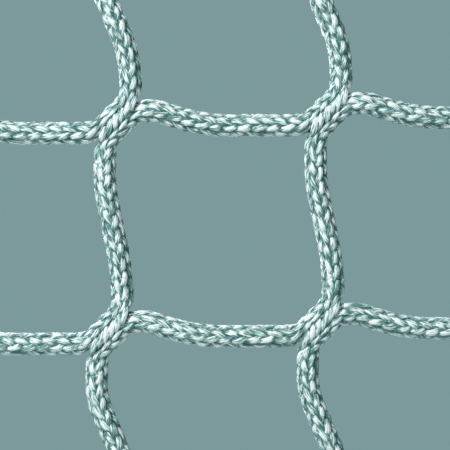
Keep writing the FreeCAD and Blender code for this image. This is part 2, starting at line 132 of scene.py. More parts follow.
class Path:
    """A rounded line through corners. Each corner is (point, bend radius or None for the widest)."""

    def __init__(self, corners, first_side):
        points, tangents, marks = [], [], []
        reached = corners[0][0]
        points.append(reached)
        tangents.append(unit(corners[1][0] - reached))
        marks.append(0)
        for (before, _), (turning, radius), (after, _) in zip(corners, corners[1:], corners[2:]):
            shorter = min(np.linalg.norm(before - turning), np.linalg.norm(after - turning))
            back, ahead = unit(before - turning), unit(after - turning)
            bend = math.acos(np.clip(-back @ ahead, -1, 1))
            if bend < 1e-4:
                self.straight(points, tangents, turning)
                marks.append(len(points) - 1)
                continue
            tangent_share = math.tan(bend / 2)
            radius = radius or 0.45 * shorter / tangent_share
            start = turning + back * radius * tangent_share
            self.straight(points, tangents, start)
            centre = turning + unit(back + ahead) * radius / math.cos(bend / 2)
            out = unit(start - centre)
            count = max(2, int(radius * bend / STEP))
            for angle in np.linspace(0, bend, count + 1)[1:]:
                points.append(centre + radius * (out * math.cos(angle) - back * math.sin(angle)))
                tangents.append(-out * math.sin(angle) - back * math.cos(angle))
            marks.append(len(points) - 1 - count // 2)
        self.straight(points, tangents, corners[-1][0])
        marks.append(len(points) - 1)
        self.points, tangents = np.array(points), np.array(tangents)
        lengths = np.linalg.norm(np.diff(self.points, axis=0), axis=1)
        self.s = np.concatenate([[0], np.cumsum(lengths)])
        self.marks = self.s[marks]
        side = [unit(first_side - tangents[0] * (first_side @ tangents[0]))]
        for i, length in enumerate(lengths):
            step = self.points[i + 1] - self.points[i]
            flipped = side[-1] - step * (2 * (step @ side[-1]) / length**2)
            facing = tangents[i] - step * (2 * (step @ tangents[i]) / length**2)
            turn = tangents[i + 1] - facing
            size = turn @ turn
            side.append(flipped - turn * (2 * (turn @ flipped) / size) if size > 1e-12 else flipped)
        self.side = np.array(side)
        self.other = np.cross(tangents, self.side)
        self.level = tangents[:, 0] ** 2

    @staticmethod
    def straight(points, tangents, end):
        """Adds samples in a straight line from the last point to end."""
        run = end - points[-1]
        length = np.linalg.norm(run)
        if length < 1e-6:
            return
        for share in np.linspace(0, 1, max(1, round(length / STEP)) + 1)[1:]:
            points.append(end - run * (1 - share))
            tangents.append(run / length)

    def read(self, table, s):
        return np.stack([np.interp(s, self.s, table[:, axis]) for axis in range(3)], axis=-1)

    def where_height(self, mark, height):
        """The length along a climbing stretch, on from a mark or back, where it passes a height."""
        i = int(np.searchsorted(self.s, mark))
        step = 1 if height > self.points[i, 2] else -1
        while (self.points[i, 2] - height) * (self.points[i + step, 2] - height) > 0:
            i += step
        low, high = sorted((i, i + step))
        share = (height - self.points[low, 2]) / (self.points[high, 2] - self.points[low, 2])
        return self.s[low] + share * (self.s[high] - self.s[low])


# %% [markdown]
# ## The route of every cord
#
# The cords climb the net in steps, right then up. Each starts in an eye on the left or bottom rope, runs
# beside one neighbour after another and ends in an eye on the top or right rope. Nine cords make the net.
# Building each cord whole keeps its plait unbroken from eye to eye, and it is parted into pieces afterwards.
#
# Each end is a real eye: the cord parts from itself in the throat, goes round the rope and comes back.

# %% Lay out the joints, the legs and the eyes


def joint(column, row):
    """The middle of a joint; columns count from the left and rows from the top."""
    across = ROW_SHIFT if row % 2 else -ROW_SHIFT
    up = COLUMN_SHIFT if column % 2 else -COLUMN_SHIFT
    if column == COLUMNS - 1:
        up = LAST_COLUMN_SHIFT
    return at(column * PITCH - SIDE + across, TOP - row * PITCH + up)


def joint_end(column, row, way):
    aside, along = SPACING / 2 / math.sqrt(2), RUN / 2 / math.sqrt(2)
    return joint(column, row) + at(*{
        "west": (-along - aside, -along + aside),
        "north": (along - aside, along + aside),
        "south": (-along + aside, -along - aside),
        "east": (along + aside, along - aside),
    }[way])


def leg_bends(column, number):
    """The lower and upper bends of the upright leg that crosses a bend line."""
    if number < ROWS:
        lower = joint_end(column, number, "north") + at(-2, LEG_BEND)
    if number > 1:
        upper = joint_end(column, number - 1, "south") + at(-0.3, -LEG_BEND)
    if number == 1:
        upper = at(lower[0] - 3, TOP - FIRST_BEND)
    if number == ROWS:
        lower = at(upper[0] + 3, BOTTOM + FIRST_BEND)
    return lower, upper


def on_leg(column, number):
    lower, upper = leg_bends(column, number)
    share = (bends[number - 1] - lower[2]) / (upper[2] - lower[2])
    return lower + (upper - lower) * share


APEX = 30.0  # from the rope's middle to where a cord parts into its eye


def cord_eye(rope_point, along_leg):
    """Corners of the eye at a cord's end, from the tail in the throat, round the rope and out again."""
    touch = math.acos(EYE_RING / APEX)
    turns = 4
    half_step = (math.pi - touch) / turns
    corners = [(rope_point + along_leg * APEX - THROUGH * 0.3, None)]
    for turn in range(turns):
        angle = touch + half_step * (2 * turn + 1)
        way = along_leg * math.cos(angle) + THROUGH * math.sin(angle)
        corners.append((rope_point + way * EYE_RING / math.cos(half_step), EYE_RING))
    corners.append((rope_point + along_leg * APEX, 12))
    return corners


def up_leg(column, number):
    lower, upper = leg_bends(column, number)
    return [(lower, None), (on_leg(column, number), 0), (upper, None)]


class Cord:
    """One net cord: its path, the cells it crosses and the joints it passes, with its side of each."""

    def __init__(self, start, count):
        column, row = (0, count) if start == "left" else (count, ROWS - 1)
        self.stretches, self.legs, self.joints, self.eyes = [], [], [], []
        corners = []
        mark_of = {}
        if start == "left":
            rope_point = at(-SIDE, joint_end(1, row, "west")[2] + 4)
            corners += cord_eye(rope_point, RIGHT)
            corners.append((rope_point + RIGHT * FIRST_BEND, 120))
            self.eyes.append((f"row_{row}", rope_point, RIGHT))
        else:
            lower, upper = leg_bends(column, ROWS)
            rope_point = at(lower[0], BOTTOM)
            corners += cord_eye(rope_point, UP)
            corners += [(lower, 120), (on_leg(column, ROWS), 0), (upper, None)]
            mark_of[len(corners) - 2] = (column, ROWS)
            self.eyes.append(("bottom", rope_point, UP))
        while True:
            if column > 0:
                corners += [(joint_end(column, row, way), TURN) for way in ("south", "east")]
                self.joints.append((joint(column, row), unit(at(1, -1))))
            if column == COLUMNS - 1:
                rope_point = at(SIDE, joint_end(column, row, "east")[2] - LEG_DROP)
                corners.append((rope_point - RIGHT * FIRST_BEND, 120))
                corners += cord_eye(rope_point, -RIGHT)[::-1]
                self.eyes.append((f"row_{row}", rope_point, -RIGHT))
                self.stretches.append((column, row))
                break
            if column > 0:
                east, west = joint_end(column, row, "east"), joint_end(column + 1, row, "west")
                corners.append((at(east[0] + 0.38 * (west[0] - east[0]), west[2] - 0.3), None))
            corners += [(joint_end(column + 1, row, way), TURN) for way in ("west", "north")]
            self.joints.append((joint(column + 1, row), unit(at(-1, 1))))
            self.stretches.append((column, row))
            column += 1
            if row == 1:
                lower, upper = leg_bends(column, 1)
                rope_point = at(upper[0], TOP)
                corners += [(lower, None), (on_leg(column, 1), 0), (upper, 120)]
                mark_of[len(corners) - 2] = (column, 1)
                corners += cord_eye(rope_point, -UP)[::-1]
                self.eyes.append(("top", rope_point, -UP))
                break
            corners += up_leg(column, row)
            mark_of[len(corners) - 2] = (column, row)
            row -= 1
        axis = UP if abs(self.eyes[0][2] @ RIGHT) > 0.5 else RIGHT
        self.path = Path(corners, axis)
        self.legs = [(*place, self.path.marks[i]) for i, place in sorted(mark_of.items())]
        self.length = self.path.s[-1]

    def thickness(self, s):
        """A cord is pulled thinner in its eyes."""
        from_end = np.minimum(s, self.length - s)
        share = np.clip((from_end - self.eye_length - 3) / 8, 0, 1)
        return EYE_CORD + (1 - EYE_CORD) * share * share * (3 - 2 * share)

    eye_length = 2 * math.sqrt(APEX**2 - EYE_RING**2) + 2 * (math.pi - math.acos(EYE_RING / APEX)) * EYE_RING


cords = [Cord("left", row) for row in range(1, ROWS)]
cords += [Cord("bottom", column) for column in range(1, COLUMNS)]
print("cords:", ", ".join(f"{cord.length:.0f} mm" for cord in cords))

# %% [markdown]
# ## Plaiting
#
# A round plait of sixteen strands has eight that wind one way and eight that wind the other, each over two and
# under two. Seen along one line of the cord, the same hand is always on top, so the strands lie in upright
# columns of short leaves that lean left and right by turns. That is the herringbone of a real plait.
#
# Array modifiers on a single leaf would be quick, but they break up in bends. Here each strand is a ribbon
# whose height over the cord's middle rises and falls with the angle it has wound to, so the strands truly
# interlace.

# %% Weave the strands of a plait along a path
PLAIT = 12.0  # the sizes below are for a plait this thick, and a thicker one has all of them larger
LAY = 56.6  # length of one full turn of a strand
HANDS = np.repeat([1.0, -1.0], 8)
FIRST_ANGLES = np.tile(np.arange(8), 2) * math.pi / 4
HALF_COLUMN = math.pi / 16  # from a crossing to the middle of a leaf
STRAND_RADIUS, STRAND_RISE = 4.1, 0.85  # a strand's middle lies this far out, more or less by the rise
STRAND_WIDTH, STRAND_THICK = 3.7, 1.9
LEAF_STRAIGHTENING = 0.52  # how much less a strand leans while it lies on top
LEVEL_TWIST = math.pi / 4  # a cord turns by half a column where it goes from upright to level
RINGS_PER_LAY = 48
GIRTH = 26.0  # round the strands' middles
STRAND_STRETCH = math.hypot(1, GIRTH / LAY)  # a strand is this much longer than its cord
SECTION = np.arange(8) * math.pi / 4
ribbon_across = np.sign(np.cos(SECTION)) * np.abs(np.cos(SECTION)) ** 0.8
ribbon_up = np.sign(np.sin(SECTION)) * np.abs(np.sin(SECTION)) ** 0.8
smooth = np.random.default_rng(7)


def waves(count):
    """Slow wandering, one row for each strand: three sines of random length and phase."""
    return smooth.uniform(0.11, 0.42, (count, 3)), smooth.uniform(0, 2 * math.pi, (count, 3))


def wander(kind, s):
    rates, phases = kind
    return np.sin(rates[:, :, None] * s[None, None, :] + phases[:, :, None]).sum(1) / 3


def weave(path, start, end, diameter, thickness, wobbles, joints=()):
    """Grids of points for the sixteen strands between two lengths along a path.

    Returns points, and for the finish the length along the strand, the place across it and how proud it lies.
    """
    grow = diameter / PLAIT
    lay = LAY * grow
    count = max(3, round((end - start) / lay * RINGS_PER_LAY))
    s = np.linspace(start, end, count + 1)
    scale = (thickness(s) * grow)[None, :]
    turn = HANDS[:, None] * 2 * math.pi * s / lay + FIRST_ANGLES[:, None]
    turn = turn + 0.05 * wander(wobbles[0], s / grow)
    column = np.cos(4 * (turn - HALF_COLUMN))
    turn = turn - HANDS[:, None] * LEAF_STRAIGHTENING / 4 * np.sin(4 * (turn - HALF_COLUMN))
    over = HANDS[:, None] * np.sign(column) * np.abs(column) ** 0.85
    middle = STRAND_RADIUS + STRAND_RISE * over + 0.14 * wander(wobbles[1], s / grow)
    width = (STRAND_WIDTH - 0.25 * over) * (1 + 0.09 * wander(wobbles[2], s / grow))
    thick = STRAND_THICK + 0.15 * over
    across = scale[:, :, None] * width[:, :, None] / 2 * ribbon_across
    radius = scale[:, :, None] * (middle[:, :, None] + thick[:, :, None] / 2 * ribbon_up)
    pitch_angle = np.arctan2(2 * math.pi * scale * middle, lay)[:, :, None]
    hand = HANDS[:, None, None]
    where = s[None, :, None] - hand * across * np.sin(pitch_angle)
    angle = turn[:, :, None] + across * np.cos(pitch_angle) / (scale * middle)[:, :, None]
    angle = angle + HALF_COLUMN + LEVEL_TWIST * np.interp(s, path.s, path.level)[None, :, None]
    flat = where.reshape(-1)
    centre = path.read(path.points, flat).reshape(*where.shape, 3)
    side = path.read(path.side, flat).reshape(*where.shape, 3)
    other = path.read(path.other, flat).reshape(*where.shape, 3)
    offset = radius[..., None] * (side * np.cos(angle)[..., None] + other * np.sin(angle)[..., None])
    for place, own_side in joints:
        apart = (centre - place) @ own_side
        near = np.linalg.norm(centre - place, axis=-1) < RUN
        room = np.clip((apart - 0.1) / (diameter / 2 + 0.15), 0.2, 1)
        pressed = np.where(near, np.clip((1 - room) * 4, 0, 1), 0)
        toward = offset @ own_side
        keep = np.where(toward < 0, np.where(near, room, 1), 1 - 0.2 * pressed)
        offset += own_side * (toward * (keep - 1))[..., None]
        offset[..., 1] *= 1 + 0.04 * pressed
    # This mask sets the painted light: each leaf's middle on top gets the painted highlight, and strands lying
    # under and the inner side get painted shade.
    leaf = np.clip(over, 0, 1)[:, :, None] * (1 - 0.6 * ribbon_across**2)
    proud = np.where(ribbon_up > -0.1, leaf, 0) * np.ones_like(across)
    along = np.broadcast_to((s * STRAND_STRETCH)[None, :, None], across.shape)
    return centre + offset, along, across, proud


# %% [markdown]
# ## From grids to meshes
#
# Every strand, twine and filament is a grid: rings of points along it. A batch collects grids and makes one
# mesh of them. It also keeps, on each point, the length along the strand in millimetres, the place across it,
# a number that differs from strand to strand and how proud the point lies. The materials read those, so the
# fibres in the finish always run along the strand, however it bends.
#
# Each grid also gets a cell of its own in a UV map, so that the finish can be baked without waste.

# %% Collect grids and make a mesh of them


class Batch:
    def __init__(self):
        self.points, self.rings, self.data = [], [], []

    def add(self, points, along, across, proud, number):
        self.points.append(points)
        self.data.append(np.stack([along, across, np.full(along.shape, float(number)), proud], -1))

    def finish(self, name, material):
        vertices, faces, loops_uv = [], [], []
        first = 0
        lengths = [np.linalg.norm(np.diff(p[:, 0], axis=0), axis=1).sum() for p in self.points]
        girth = [np.linalg.norm(np.diff(p[len(p) // 2], axis=0), axis=1).sum() for p in self.points]
        columns = max(1, round(math.sqrt(np.mean(girth) * len(self.points) / np.mean(lengths))))
        lines = math.ceil(len(self.points) / columns)
        for number, points in enumerate(self.points):
            count, sides = points.shape[:2]
            index = first + np.arange(count * sides).reshape(count, sides)
            ahead = np.roll(index, -1, axis=1)
            quads = np.stack([index[:-1], ahead[:-1], ahead[1:], index[1:]], -1).reshape(-1, 4)
            ring = points[0]
            normal = np.cross(ring[1] - ring[0], points[1, 0] - ring[0])
            inward = normal @ (ring[0] - ring.mean(0)) < 0
            u = np.linspace(0.01, 0.99, count)[:, None] * np.ones(sides + 1)
            v = np.ones(count)[:, None] * np.linspace(0.06, 0.94, sides + 1)
            u = (number % columns + u) / columns
            v = (number // columns + v) / lines
            grid = np.stack([u, v], -1)
            uv = np.stack([grid[:-1, :-1], grid[:-1, 1:], grid[1:, 1:], grid[1:, :-1]], 2).reshape(-1, 4, 2)
            caps = [index[0][::-1], index[-1]]
            cap_uv = []
            for end, sign in ((0, -1), (-1, 1)):
                turn = np.arange(sides) * 2 * math.pi / sides
                middle = np.array([u[end, 0], (number // columns + 0.5) / lines])
                ring_uv = middle + np.stack([0.003 * np.cos(turn), 0.2 / lines * np.sin(turn)], -1)
                cap_uv.append(ring_uv[::-1] if end == 0 else ring_uv)
            if inward:
                quads, uv = quads[:, ::-1], uv[:, ::-1]
                caps = [cap[::-1] for cap in caps]
                cap_uv = [cap[::-1] for cap in cap_uv]
            vertices.append(points.reshape(-1, 3))
            faces += quads.tolist() + [cap.tolist() for cap in caps]
            loops_uv += [uv.reshape(-1, 2)] + cap_uv
            first += count * sides
        mesh = bpy.data.meshes.new(name)
        mesh.from_pydata((np.concatenate(vertices) * MM).tolist(), [], faces)
        mesh.polygons.foreach_set("use_smooth", [True] * len(mesh.polygons))
        data = np.concatenate([d.reshape(-1, 4) for d in self.data])
        strand = mesh.attributes.new("strand", "FLOAT_VECTOR", "POINT")
        strand.data.foreach_set("vector", data[:, :3].astype(np.float32).reshape(-1))
        proud = mesh.attributes.new("proud", "FLOAT", "POINT")
        proud.data.foreach_set("value", data[:, 3].astype(np.float32))
        layer = mesh.uv_layers.new(name="OFBake")
        layer.data.foreach_set("uv", np.concatenate(loops_uv).astype(np.float32).reshape(-1))
        mesh.materials.append(material)
        made = bpy.data.objects.new(name, mesh)
        bpy.context.scene.collection.objects.link(made)
        totals["faces"] += len(mesh.polygons)
        totals["pieces"] += 1
        return made


totals = {"faces": 0, "pieces": 0}

# %% [markdown]
# ## Nodes in one line
#
# Every finish is a small node tree. One function adds any node: its own settings first, then its inputs, each
# a plain value or another node's output.

# %% Add a shader node with its settings and links


def linear(hex_colour):
    """An sRGB hex colour as the linear numbers that shaders use."""
    parts = [int(hex_colour[i : i + 2], 16) / 255 for i in (1, 3, 5)]
    return tuple(c / 12.92 if c <= 0.04045 else ((c + 0.055) / 1.055) ** 2.4 for c in parts) + (1.0,)


def add(tree, kind, settings=None, inputs=None):
    made = tree.nodes.new(kind)
    for name, value in (settings or {}).items():
        setattr(made, name, value)
    for name, value in (inputs or {}).items():
        if isinstance(value, tuple) and isinstance(value[0], bpy.types.Node):
            tree.links.new(value[0].outputs[value[1]], made.inputs[name])
        else:
            made.inputs[name].default_value = value
    return made


def ramp(tree, factor, stops):
    """A colour ramp; stops are (place, hex colour)."""
    made = add(tree, "ShaderNodeValToRGB", {}, {0: factor})
    elements = made.color_ramp.elements
    while len(elements) < len(stops):
        elements.new(0.5)
    for element, (place, colour) in zip(elements, stops):
        element.position, element.color = place, linear(colour)
    return made


def new_material(name):
    material = bpy.data.materials.new(name)
    material.use_nodes = True
    tree = material.node_tree
    tree.nodes.clear()
    shader = add(tree, "ShaderNodeBsdfPrincipled")
    add(tree, "ShaderNodeOutputMaterial", {}, {"Surface": (shader, "BSDF")})
    return material, tree, shader


def maths(tree, operation, first, second, clamp=False):
    return add(tree, "ShaderNodeMath", {"operation": operation, "use_clamp": clamp}, {0: first, 1: second})


# %% [markdown]
# ## Plaited polypropylene
#
# The yarn is hundreds of fine glossy filaments laid side by side. Close up it looks like combed hair, with
# streaks along each strand. Here each strand's bright crown is a painted highlight, and the dull grey-green in
# the hollows between strands is painted shade.
#
# Real filaments would need millions of hairs. A noise stretched along the strand gives the same streaks: it
# changes about every 5 mm along the yarn and every 0.75 mm across it, which is coarser than real filaments so
# that it shows. A colour ramp on how proud a point lies paints the shade in the hollows and the highlight on the
# crowns.

# %% Make the finishes of the cord and the rope


def combed(tree, along_mm, across_mm, detail=2.0):
    """Noise stretched along the strands, different on every strand."""
    strand = add(tree, "ShaderNodeAttribute", {"attribute_name": "strand"})
    parts = add(tree, "ShaderNodeSeparateXYZ", {}, {"Vector": (strand, "Vector")})
    u = maths(tree, "MULTIPLY", (parts, "X"), 1 / along_mm)
    v = maths(tree, "MULTIPLY", (parts, "Y"), 1 / across_mm)
    w = maths(tree, "MULTIPLY", (parts, "Z"), 7.31)
    place = add(tree, "ShaderNodeCombineXYZ", {}, {"X": (u, 0), "Y": (v, 0), "Z": (w, 0)})
    return add(tree, "ShaderNodeTexNoise", {"noise_dimensions": "3D"},
               {"Vector": (place, "Vector"), "Scale": 1.0, "Detail": detail, "Roughness": 0.6})


def plaited(name, painted_hollow_shade, shade, crown, highlight):
    material, tree, shader = new_material(name)
    proud = add(tree, "ShaderNodeAttribute", {"attribute_name": "proud"})
    streaks = combed(tree, 5, 0.75, 3)
    patches = combed(tree, 10, 4, 1)
    nudge = maths(tree, "MULTIPLY_ADD", (streaks, "Fac"), 4.2)
    nudge.inputs[2].default_value = -2.15
    height = maths(tree, "ADD", (proud, "Fac"), (nudge, 0))
    drift = maths(tree, "MULTIPLY_ADD", (patches, "Fac"), 1.9)
    drift.inputs[2].default_value = -0.95
    height = maths(tree, "ADD", (height, 0), (drift, 0), True)
    # This ramp is painted light: painted shade in the hollows, rising to a painted white highlight on each leaf's
    # crown.
    colour = ramp(tree, (height, 0), [(0.0, painted_hollow_shade), (0.28, shade), (0.5, crown), (0.8, highlight)])
    tree.links.new(colour.outputs["Color"], shader.inputs["Base Color"])
    rough = add(tree, "ShaderNodeMapRange", {}, {"Value": (streaks, "Fac"), "To Min": 0.24, "To Max": 0.5})
    tree.links.new(rough.outputs["Result"], shader.inputs["Roughness"])
    fine = combed(tree, 22, 0.22, 1)
    relief = maths(tree, "MULTIPLY_ADD", (streaks, "Fac"), 0.7)
    tree.links.new(fine.outputs["Fac"], relief.inputs[2])
    bump = add(tree, "ShaderNodeBump", {}, {"Height": (relief, 0), "Strength": 0.7, "Distance": 0.0006})
    tree.links.new(bump.outputs["Normal"], shader.inputs["Normal"])
    shader.inputs["IOR"].default_value = 1.49
    return material


# Both finishes paint shade into the hollows and highlights onto the crowns of the strands.
CORD_FINISH = plaited("plaited_polypropylene", "#587E7B", "#7DA5A2", "#A9CBC9", "#FFFFFF")
ROPE_FINISH = plaited("plaited_polypropylene_rope", "#5D7F7C", "#86A9A6", "#B4D1CF", "#FAFFFE")
print("finishes:", CORD_FINISH.name, ROPE_FINISH.name)

# %% [markdown]
# ## The net cords
#
# Each row of the net is one body of the frame. A row's share of each cord rides on it, and every upright leg
# is a piece of its own between the rows above and below, attached to neither. The piece is cut exactly
# where the bend zone round its bend line starts and ends, and its strands meet their neighbours ring for ring.

# %% Plait the net cords and part them at the bends
BEND_HALF = 34.0  # a leg bends this far above and below its bend line
EDGE_BEND_HALF = 27.0  # the top and bottom legs are shorter


def bend_half(number):
    return EDGE_BEND_HALF if number in (1, ROWS) else BEND_HALF


def level_node(column, row):
    return f"net_cord_{row}_{column + 1}"


def leg_nodes(column, number):
    """The CAD nodes whose ends meet on a leg's bend line, the lower one first."""
    lower = level_node(column - 1, number) if number < ROWS else f"cord_end_bottom_{column}"
    upper = level_node(column, number - 1) if number > 1 else f"cord_end_top_{column}"
    return lower, upper


def across_bend(made):
    """Bakes a piece's placement into its mesh, attached to neither body."""
    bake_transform(made)


def plait(batch, path, start, end, diameter, thickness, wobbles, number, joints=()):
    points, along, across, proud = weave(path, start, end, diameter, thickness, wobbles, joints)
    for strand in range(16):
        batch.add(points[strand], along[strand], across[strand], proud[strand], number * 16 + strand)


for number, cord in enumerate(cords):
    wobbles = [waves(16) for _ in range(3)]
    cuts = []
    for column, leg, mark in cord.legs:
        half = bend_half(leg)
        low = cord.path.where_height(mark, bends[leg - 1] - half)
        high = cord.path.where_height(mark, bends[leg - 1] + half)
        cuts.append((low, high))
        batch = Batch()
        plait(batch, cord.path, low, high, OVER_CROWNS, cord.thickness, wobbles, number, cord.joints)
        made = batch.finish(f"upright_leg_{leg}_{column}", CORD_FINISH)
        across_bend(made)
        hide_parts(*leg_nodes(column, leg))
    starts = [0.0] + [high for low, high in cuts]
    ends = [low for low, high in cuts] + [cord.length]
    places = [(f"plaited_cord_{row}_{column + 1}", f"row_{row}", level_node(column, row))
              for column, row in cord.stretches]
    if cord.eyes[0][0] == "bottom":
        column = cord.legs[0][0]
        places.insert(0, (f"cord_eye_bottom_{column}", "bottom_edge", f"cord_end_bottom_{column}"))
    if cord.eyes[1][0] == "top":
        column = cord.legs[-1][0]
        places.append((f"cord_eye_top_{column}", "top_edge", f"cord_end_top_{column}"))
    for (name, body, node), start, end in zip(places, starts, ends):
        batch = Batch()
        plait(batch, cord.path, start, end, OVER_CROWNS, cord.thickness, wobbles, number, cord.joints)
        made = batch.finish(name, CORD_FINISH)
        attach(made, body)
        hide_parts(node)
print("net cords:", totals)

# %% [markdown]
# ## The joints
#
# A knotless net is joined by plaiting: where two cords meet, strands of each pass through the other. What shows
# is a flat diagonal band whose middle is crossed by strands from both sides. The two plaits are pressed
# together already, and these are the crossing strands: each rises out of one cord, crosses the valley and
# dives into the other, on the front and on the back.

# %% Lace the joints with crossing strands


def ribbon(batch, points, ups, width, thick, number, proud=None, sides=8):
    """A flat strand along points; ups are its outward directions, width and thick may vary along it."""
    points = np.array(points)
    tangents = np.gradient(points, axis=0)
    tangents /= np.linalg.norm(tangents, axis=1)[:, None]
    ups = np.broadcast_to(ups, points.shape)
    across_way = np.cross(tangents, ups)
    across_way /= np.linalg.norm(across_way, axis=1)[:, None]
    up_way = np.cross(across_way, tangents)
    angle = np.arange(sides) * 2 * math.pi / sides
    power = 0.8
    width, thick = (np.broadcast_to(size, len(points))[:, None] for size in (width, thick))
    a = np.sign(np.cos(angle)) * np.abs(np.cos(angle)) ** power / 2 * width
    b = np.sign(np.sin(angle)) * np.abs(np.sin(angle)) ** power / 2 * thick
    grid = points[:, None] + across_way[:, None] * a[..., None] + up_way[:, None] * b[..., None]
    lengths = np.concatenate([[0], np.cumsum(np.linalg.norm(np.diff(points, axis=0), axis=1))])
    along = np.broadcast_to(lengths[:, None], a.shape)
    high = 0.75 + 0.25 * np.sin(angle) if proud is None else proud
    batch.add(grid, along, a, np.broadcast_to(high, a.shape), number)


lace = np.random.default_rng(21)
diagonal, outward = unit(at(1, 1)), unit(at(-1, 1))
for row in range(1, ROWS):
    batch = Batch()
    for column in range(1, COLUMNS):
        place = joint(column, row)
        for face in (-1, 1):
            for count in range(6):
                lean = -face
                middle = (count - 2.5) * 4.9 + lace.uniform(-0.8, 0.8)
                reach = 2.7 + lace.uniform(-0.5, 0.9)
                slide = lean * (5.0 + lace.uniform(-0.8, 0.8))
                share = np.linspace(-1, 1, 13)
                crown = 6.8 + lace.uniform(-0.15, 0.25) - 2.2 * np.abs(share) ** 3
                points = (place + diagonal * (middle + share * slide)[:, None]
                          + outward * (share * reach)[:, None] + THROUGH * (face * crown)[:, None])
                # This mask paints a highlight on the middle of each crossing strand and painted shade at its ends
                # and inner side.
                leaf = 1 - np.abs(share) ** 2.5
                proud = np.clip(leaf[:, None] * (1 - 0.6 * ribbon_across**2) * (ribbon_up > -0.1), 0, 1)
                ribbon(batch, points, THROUGH * face, (4.2 + lace.uniform(-0.3, 0.4)) * (0.45 + 0.55 * leaf),
                       2.2 * (0.5 + 0.5 * leaf), 900 + row * 100 + column * 16 + count, proud)
    made = batch.finish(f"joint_strands_row_{row}", CORD_FINISH)
    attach(made, f"row_{row}")
    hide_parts(*[level_node(column, row) for column in range(COLUMNS)])
print("joints laced:", totals)

# %% [markdown]
# ## The border rope
#
# The rope is the same plait a little thicker, in one length. It starts and ends in the sleeve at the bottom and
# goes round five thimbles on its way. Its straight sides are parted half way between the bend lines, so that each
# part spans one of them.

# %% Plait the border rope
FLARE, FLARE_BEND, NECK, EYE_RADIUS = 34.0, 25.0, 16.4, 21.0
EYES = [  # name, the corner it stands on, which way it points, the rope's way in and out, its bend
    ("bottom_left", at(-SIDE, BOTTOM), at(-1, -1), -RIGHT, UP, 24),
    ("top_left", at(-SIDE, TOP), at(-1, 1), UP, RIGHT, 24),
    ("top_middle", at(0, TOP), UP, RIGHT, RIGHT, 16),
    ("top_right", at(SIDE, TOP), at(1, 1), RIGHT, -UP, 24),
    ("bottom_right", at(SIDE, BOTTOM), at(1, -1), -UP, -RIGHT, 24),
]


def rope_eye(name, base, out, rope_in, rope_out, bend):
    out = unit(out)
    left = at(-out[2], out[0])
    first = base + rope_in * (NECK / 2 / (rope_in @ left))
    last = base - rope_out * (NECK / 2 / (rope_out @ left))
    middle = bores[name]
    touch = math.pi - math.atan2(NECK / 2, FLARE) - math.acos(EYE_RADIUS / math.hypot(NECK / 2, FLARE))
    half_step = touch / 3
    reach = EYE_RADIUS / math.cos(half_step)
    around = [(middle + (out * math.cos(angle) + left * math.sin(angle)) * reach, EYE_RADIUS)
              for angle in (touch - half_step, 0, half_step - touch)]
    return ([(first, bend), (middle - out * FLARE + left * NECK / 2, FLARE_BEND)] + around
            + [(middle - out * FLARE - left * NECK / 2, FLARE_BEND), (last, bend)])


corners = [(at(0, BOTTOM), None)]
side_marks = {}
for eye in EYES:
    corners += rope_eye(*eye)
    if eye[0] in ("bottom_left", "top_right"):
        x, heights = (-SIDE, bends[::-1]) if eye[0] == "bottom_left" else (SIDE, bends)
        for height in heights:
            side_marks[("left" if x < 0 else "right", bends.index(height) + 1)] = len(corners)
            corners.append((at(x, height), 0))
corners.append((at(0, BOTTOM), None))
rope = Path(corners, THROUGH)
rope_wobbles = [waves(16) for _ in range(3)]


def rope_thickness(s):
    return np.ones_like(s)


def rope_piece(name, spans):
    batch = Batch()
    for start, end in spans:
        plait(batch, rope, start, end, ROPE, rope_thickness, rope_wobbles, 40)
    return batch.finish(name, ROPE_FINISH)


edges = {}
for side in ("left", "right"):
    for number in range(1, ROWS + 1):
        mark = rope.marks[side_marks[side, number]]
        high = bends[0] + EDGE_BEND_HALF if number == 1 else TOP - (number - 1) * PITCH
        low = bends[-1] - EDGE_BEND_HALF if number == ROWS else TOP - number * PITCH
        along = 1 if side == "left" else -1
        edges[side, number] = tuple(mark + along * (height - bends[number - 1]) for height in (low, high))
        made = rope_piece(f"side_rope_{side}_bend_{number}", [sorted(edges[side, number])])
        across_bend(made)
        upper = f"side_rope_{side}_{number - 1}" if number > 1 else f"top_rope_{side}"
        lower = f"side_rope_{side}_{number}" if number < ROWS else f"bottom_rope_{side}"
        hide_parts(upper, lower)
made = rope_piece("plaited_top_rope", [(edges["left", 1][1], edges["right", 1][1])])
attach(made, "top_edge")
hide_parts("top_rope_left", "top_rope_middle", "top_rope_right")
made = rope_piece("plaited_bottom_rope", [(0.0, edges["left", ROWS][0]), (edges["right", ROWS][0], rope.s[-1])])
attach(made, "bottom_edge")
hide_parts("bottom_rope_left", "bottom_rope_right")
print(f"border rope: {rope.s[-1]:.0f} mm", totals)

# %% [markdown]
# ## Twine
#
# A whipping binds the throat of each cord's eye, and a seizing binds the neck of each rope eye. Both are waxed
# twine wound tight, turn against turn. A plain band with lines drawn on it would do from afar, but its edge
# would be straight. Wound twine has a beaded edge, so the winding is a real helix.

# %% Wind the whippings and the seizings
twine, tree, shader = new_material("waxed_twine")
strand = add(tree, "ShaderNodeAttribute", {"attribute_name": "strand"})
parts = add(tree, "ShaderNodeSeparateXYZ", {}, {"Vector": (strand, "Vector")})
lean = maths(tree, "MULTIPLY_ADD", (parts, "Y"), 1.1)
tree.links.new(parts.outputs["X"], lean.inputs[2])
plies = maths(tree, "SINE", (maths(tree, "MULTIPLY", (lean, 0), 2 * math.pi / 1.9), 0), 0.0)
fluff = combed(tree, 3, 0.3)
height = maths(tree, "MULTIPLY_ADD", (plies, 0), 0.3)
tree.links.new(fluff.outputs["Fac"], height.inputs[2])
